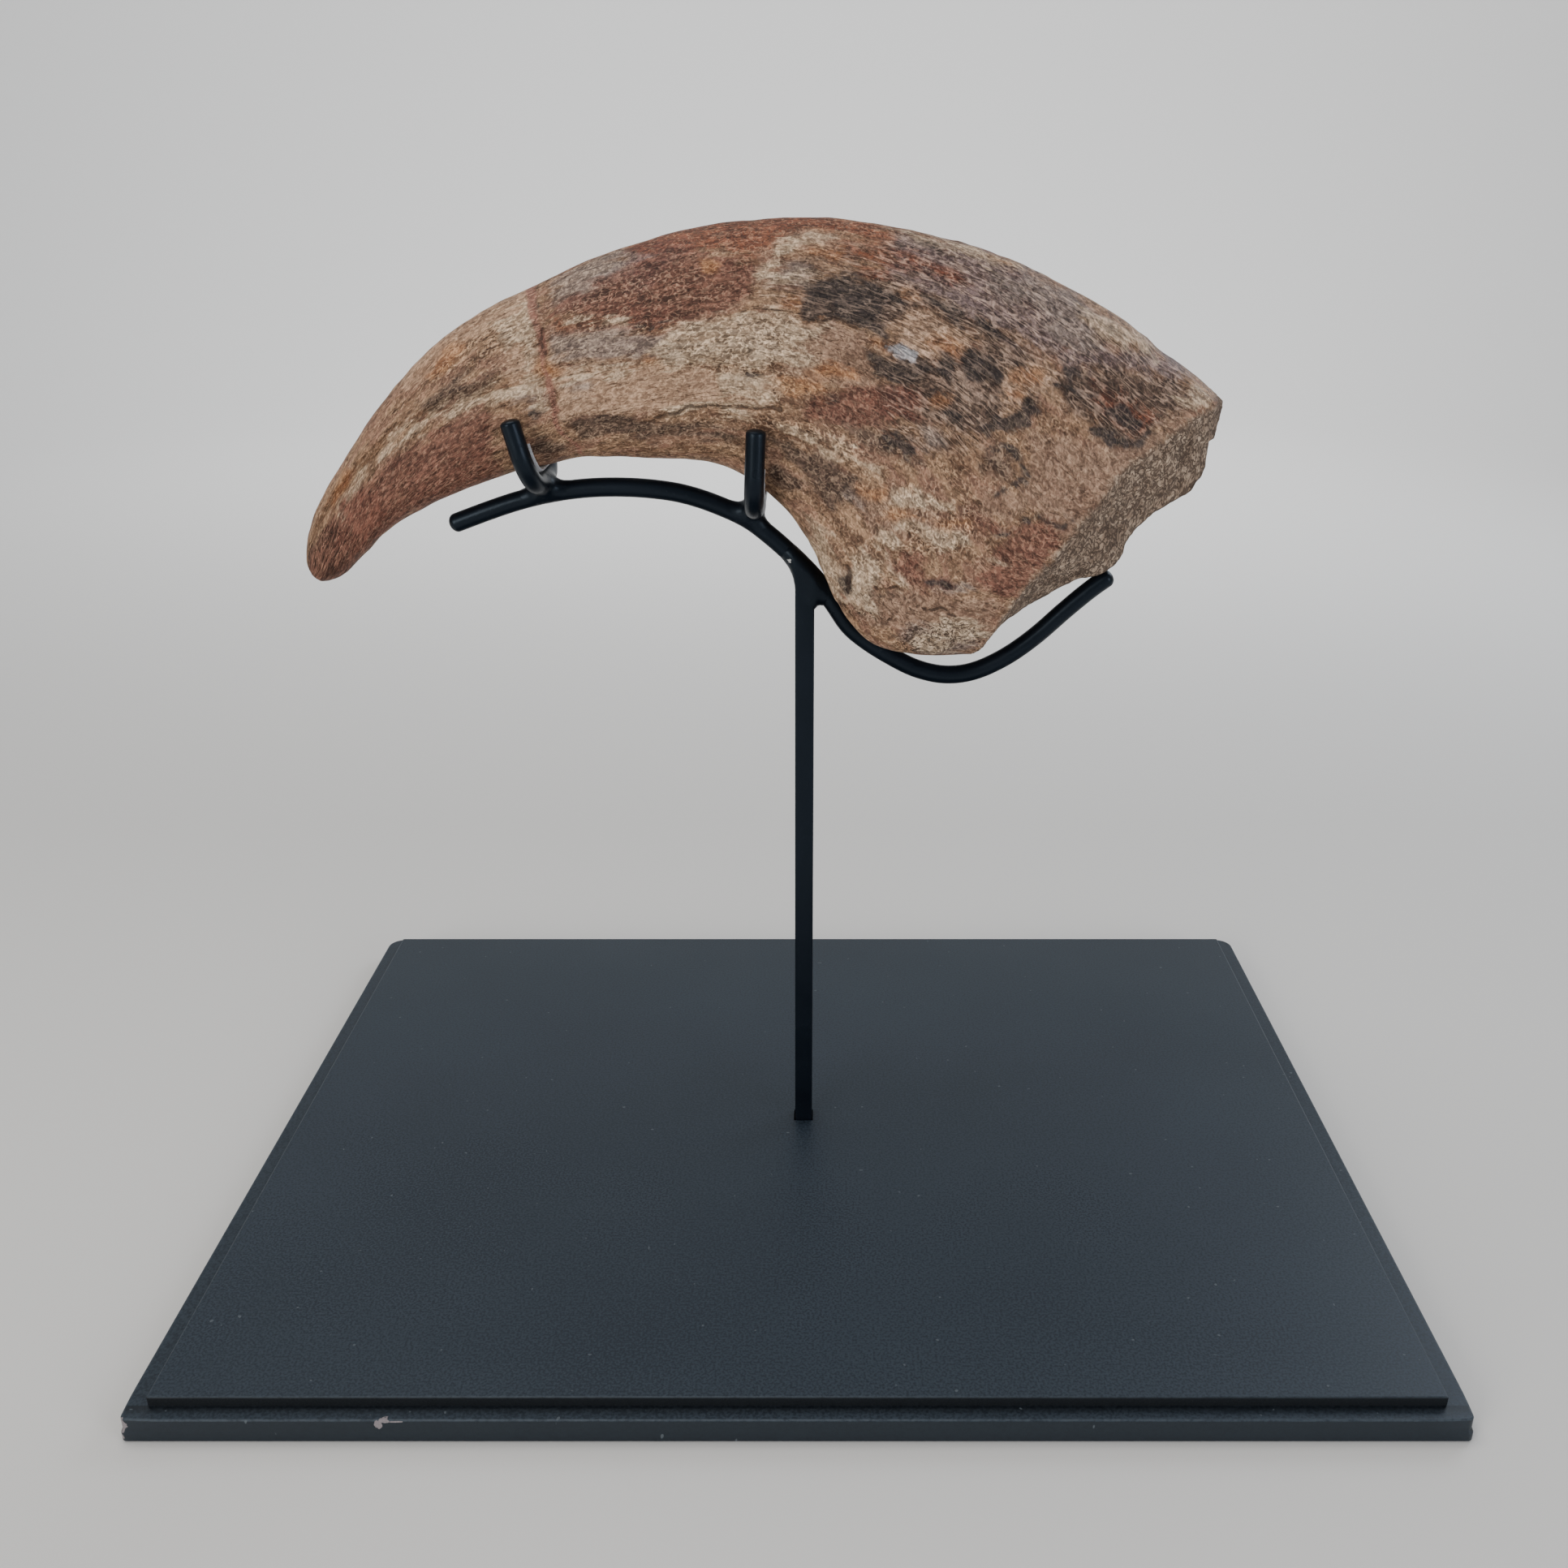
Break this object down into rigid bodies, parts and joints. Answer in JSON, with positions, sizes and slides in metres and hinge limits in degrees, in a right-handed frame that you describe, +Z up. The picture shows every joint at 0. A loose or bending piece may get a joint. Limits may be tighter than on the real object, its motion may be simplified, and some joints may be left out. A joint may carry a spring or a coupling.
{
  "type": "mounted fossil claw",
  "caption": "Curved fossil theropod claw with a broken spongy joint end, lying in a bent-rod cradle with U clips, on a square post and a stepped rectangular board.",
  "frame": {"origin": "middle of the board's underside, directly below the post", "axes": "+Z up; +X along the board's long side, from the claw's tip towards its joint end; +Y from the viewer's side to the back"},
  "size_m": [0.3048, 0.2286, 0.2556],
  "materials": {
    "fossil_bone": "mineralised bone, matt to low satin, tan to red-brown with black manganese stains",
    "painted_steel": "satin black paint with a cold tone",
    "liner": "pale grey felt strip",
    "painted_board": "satin slate-black paint on fibreboard, chipped at one corner",
    "zinc_steel": "zinc plated"
  },
  "bodies": {
    "root": {"claw": "fossil_bone", "cradle_rod": "painted_steel", "clip_left": "painted_steel", "clip_right": "painted_steel", "post": "painted_steel", "liner_left": "liner", "liner_right": "liner", "base_board": "painted_board", "post_screw": "zinc_steel"}
  },
  "joints": []
}
